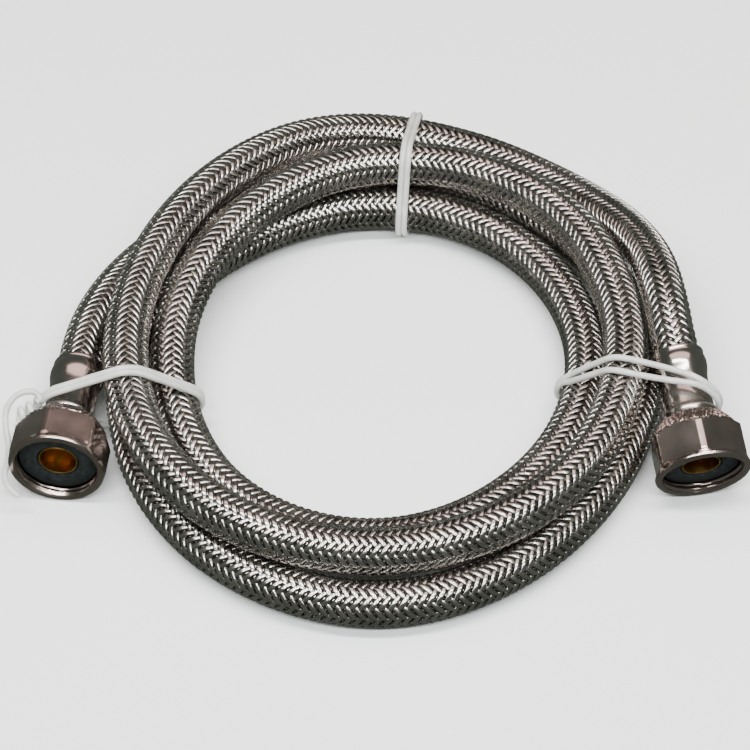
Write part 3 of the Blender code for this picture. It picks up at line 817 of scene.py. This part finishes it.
def bundle_outline(line, tie):
    """Corner points (reach, height) of a band pulled round the bundle at a tie."""
    origin, out, along, _ = tie_plane(tie)
    square_to = along - UP * tie["lean"]
    square_to /= np.linalg.norm(square_to)
    first = LEFT_END[0] - LEFT_END[1] * NUT_REAR
    last = RIGHT_END[0] - RIGHT_END[1] * NUT_REAR
    dense = np.concatenate([[first], line[1], [last]])
    inside = np.concatenate([[0.0], np.minimum(line[0], line[0][-1] - line[0]), [0.0]])
    level = (dense - origin) @ square_to
    reach = (dense - origin) @ out
    ring = []
    for i in np.nonzero((level[:-1] * level[1:] <= 0.0) & (reach[:-1] > 0.0))[0]:
        radius = FERRULE_MAX_R if inside[i] < INSERT else HOSE_D / 2
        run = dense[i + 1] - dense[i]
        size = radius * np.linalg.norm(run) / abs(run @ square_to) + BAND_PAD
        for k in range(0, 360, OUTLINE_STEP):
            a = math.radians(k)
            ring.append((float(reach[i]) + size * math.cos(a),
                         max(float(dense[i][2]) + size * math.sin(a), BAND_FLOOR)))
    return hull(ring)


def band_from(band, towards):
    """The outline as an even run that starts at its corner furthest in one direction."""
    way = math.radians(towards)
    start = max(range(len(band)),
                key=lambda i: band[i][0] * math.cos(way) + band[i][1] * math.sin(way))
    band = band[start:] + band[:start + 1]
    return even_path(np.array([(r, z, 0.0) for r, z in band]), BAND_STEP)


def wrap_twice(line, tie):
    """Two turns of one wire side by side, which can part over the top of the bundle."""
    origin, out, along, up = tie_plane(tie)
    run = band_from(bundle_outline(line, tie), tie["knot"])
    reach = run[:, 0]
    across = (reach - reach.min()) / (reach.max() - reach.min())
    across = np.minimum(across / MEET_AT, 1.0)
    over = run[:, 1] > 0.5 * (run[:, 1].max() + run[:, 1].min())
    part = np.where(over, (4.0 * across * (1.0 - across)) ** PART_BLUNT, 0.0)
    turns = []
    for way in (-1.0, 1.0):
        drift = way * (TURNS_APART + (tie["spread"] - TURNS_APART) * part)
        turns += [origin + out * r + along * d + up * z for (r, z, _), d in zip(run, drift)]
    ease = np.linspace(-1.0, 1.0, 5)
    seam = len(run)
    for k, e in zip(range(seam - 2, seam + 3), ease):
        here = turns[k] - along * ((turns[k] - origin) @ along)
        turns[k] = here + along * (TURNS_APART * e + tie["lean"] * turns[k][2])
    return turns


def tail_from(knot, tie, steps):
    """A free end of the wire, by steps out, along and up from the knot."""
    _, out, along, _ = tie_plane(tie)
    return [knot + (out * r + along * d + UP * z) * MM for r, d, z in steps]


def coiled_end(knot, tie):
    """The short end, coiled round on itself outwards from the knot."""
    _, out, along, _ = tie_plane(tie)
    first, last = (np.array(place) for place in COIL_AXIS)
    end = []
    for k in range(COIL_STEPS + 1):
        part = k / COIL_STEPS
        reach, drift, rise = first + (last - first) * part
        a = math.radians(COIL_FROM - 360.0 * COIL_TURNS * part)
        drift += COIL_R * math.cos(a)
        rise += COIL_R * math.sin(a)
        end.append(knot + (out * reach + along * drift + UP * rise) * MM)
    return end


def tie_pieces(name, points):
    """The plastic coat and the steel core inside it."""
    path = smooth_path(np.array(points), TIE_STEP)
    path[:, 2] = np.maximum(path[:, 2], TIE_FLOOR)
    frames = carried_frames(path)
    for label, radius, sides, look, node, slot in (
            ("_coat", COAT_R, COAT_SIDES, "coat", name, "tie_plastic"),
            ("_core", WIRE_R, WIRE_SIDES, "wire", name + "_wire", "tie_steel")):
        item = tube_piece(name + label, path, frames, np.full(len(path), radius), sides, LOOKS[look])
        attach(item, "line")
        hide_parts(node)


def make_ties(line):
    """Three wire ties round the hank; the left one has a coiled short end and a long one."""
    for name in ("top_tie", "right_tie"):
        tie = TIES[name]
        turns = wrap_twice(line, tie)
        first = tail_from(turns[0], tie, tie["tails"][0])
        last = tail_from(turns[-1], tie, tie["tails"][1])
        tie_pieces(name, first[::-1] + turns + last)
    tie = TIES["left_tie"]
    turns = wrap_twice(line, tie)
    knot = 0.5 * (turns[0] + turns[-1])
    tie_pieces("left_tie", tail_from(knot, tie, LONG_END)[::-1] + turns + coiled_end(knot, tie))


# ---- floor and light -------------------------------------------------------------------------------
FLOOR_HALF = 3.0
WORLD_STRENGTH = 0.17


def make_floor():
    """A plain pale floor, kept out of mirror reflections."""
    mesh = bpy.data.meshes.new("floor")
    corners = [(FLOOR_HALF * x, FLOOR_HALF * y, 0) for x, y in ((-1, -1), (1, -1), (1, 1), (-1, 1))]
    mesh.from_pydata(corners, [], [(0, 1, 2, 3)])
    m = Nodes("floor_paint")
    stops = [(NOISE_LOW, (0.95, 0.95, 0.95)), (NOISE_HIGH, (0.98, 0.98, 0.98))]
    m.link(m.ramp(m.noise(3.0, 2.0), stops), m.shader.inputs["Base Color"])
    m.put("Roughness", 0.8)
    mesh.materials.append(m.material)
    floor = bpy.data.objects.new("floor", mesh)
    bpy.context.scene.collection.objects.link(floor)
    floor.visible_glossy = False


def area_light(name, at, towards, size, energy, colour):
    """One soft lamp."""
    lamp = bpy.data.lights.new(name, "AREA")
    lamp.shape = "RECTANGLE"
    lamp.size = size[0]
    lamp.size_y = size[1]
    lamp.energy = energy
    lamp.color = colour
    item = bpy.data.objects.new(name, lamp)
    item.location = at
    item.rotation_euler = (Vector(towards) - Vector(at)).to_track_quat("-Z", "Y").to_euler()
    bpy.context.scene.collection.objects.link(item)


def make_light():
    """Soft studio light: two long lamps, a rose panel at the back and a dim greenish sky."""
    world = bpy.data.worlds.new("world")
    world.use_nodes = True
    sky = world.node_tree.nodes["Background"]
    sky.inputs["Color"].default_value = (0.86, 0.98, 0.88, 1.0)
    sky.inputs["Strength"].default_value = WORLD_STRENGTH
    bpy.context.scene.world = world
    area_light("high_lamp", (0.0, -0.15, 1.15), (0, 0, 0), (1.3, 0.14), 22.0, (0.97, 1.0, 1.0))
    area_light("front_lamp", (0.0, -0.62, 0.98), (0, 0, 0), (1.3, 0.12), 18.0, (0.97, 1.0, 1.0))
    area_light("rose_panel", (0.0, 0.35, 1.1), (0, 0, 0), (1.6, 0.5), 7.0, (1.0, 0.72, 0.68))


make_camera()
hose = make_hose()
for side_name, end, flat_at in (("left", LEFT_END, LEFT_FLAT_AT), ("right", RIGHT_END, RIGHT_FLAT_AT)):
    make_nut(side_name, end, flat_at)
    make_small_parts(side_name, end)
make_ties(hose)
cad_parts["hose_liner"].data.materials[0] = LOOKS["liner"]
make_floor()
make_light()
